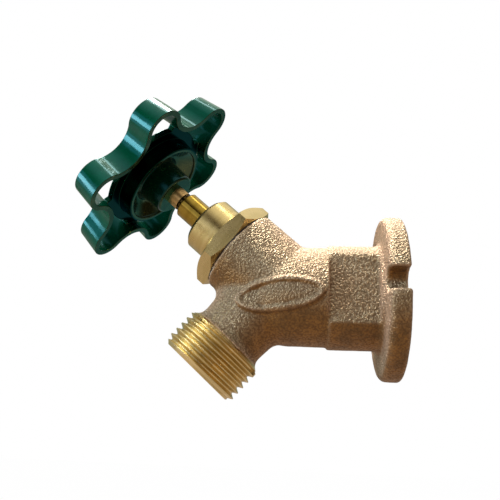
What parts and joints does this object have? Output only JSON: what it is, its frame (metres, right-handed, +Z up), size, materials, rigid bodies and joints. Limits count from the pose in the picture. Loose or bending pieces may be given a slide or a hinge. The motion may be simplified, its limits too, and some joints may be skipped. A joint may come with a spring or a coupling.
{
  "type": "sillcock",
  "caption": "Wall-flanged cast sillcock with a slanted brass stem, a lobed hand wheel and a threaded hose spout.",
  "frame": {"origin": "centre of the flange's wall face, on the inlet axis", "axes": "+X out of the inlet and into the wall, +Z up, the spout and wheel reach out along -X"},
  "size_m": [0.1038, 0.062, 0.0991],
  "materials": {
    "cast_bronze": "rough sand-cast, machined bright on the hose thread",
    "brass": "satin machined",
    "polished_brass": "polished",
    "green_enamel": "gloss enamel",
    "plain_aluminium": "satin",
    "screw_steel": "plated",
    "black_rubber": "matt",
    "packing_fibre": "graphited fibre",
    "gasket_fibre": "pressed fibre"
  },
  "bodies": {
    "valve": {"valve_body": "cast_bronze", "valve_seat": "brass", "bonnet": "brass", "bonnet_gasket": "gasket_fibre", "packing_washer": "brass", "lower_packing_ring": "packing_fibre", "upper_packing_ring": "packing_fibre", "packing_gland": "brass"},
    "washer_carrier": {"washer_holder": "brass", "holder_clip": "brass", "seat_washer": "black_rubber", "washer_screw": "brass"},
    "stem_and_wheel": {"valve_stem": "polished_brass", "hand_wheel": "green_enamel", "index_plate": "plain_aluminium", "lock_washer": "screw_steel", "wheel_screw": "screw_steel"}
  },
  "joints": [
    {"name": "stem_lift", "type": "slide", "parent": "valve", "child": "washer_carrier", "axis": [-0.7547, 0, 0.6561], "range_m": [0, 0.00762]},
    {"name": "wheel_turn", "type": "hinge", "parent": "washer_carrier", "child": "stem_and_wheel", "pos_m": [-0.0368, 0, 0.0034], "axis": [-0.7547, 0, 0.6561], "range_deg": [0, 1080]}
  ],
  "couplings": [
    {"joint": "stem_lift", "follows": "wheel_turn", "m_per_rad": 0.00040425}
  ]
}
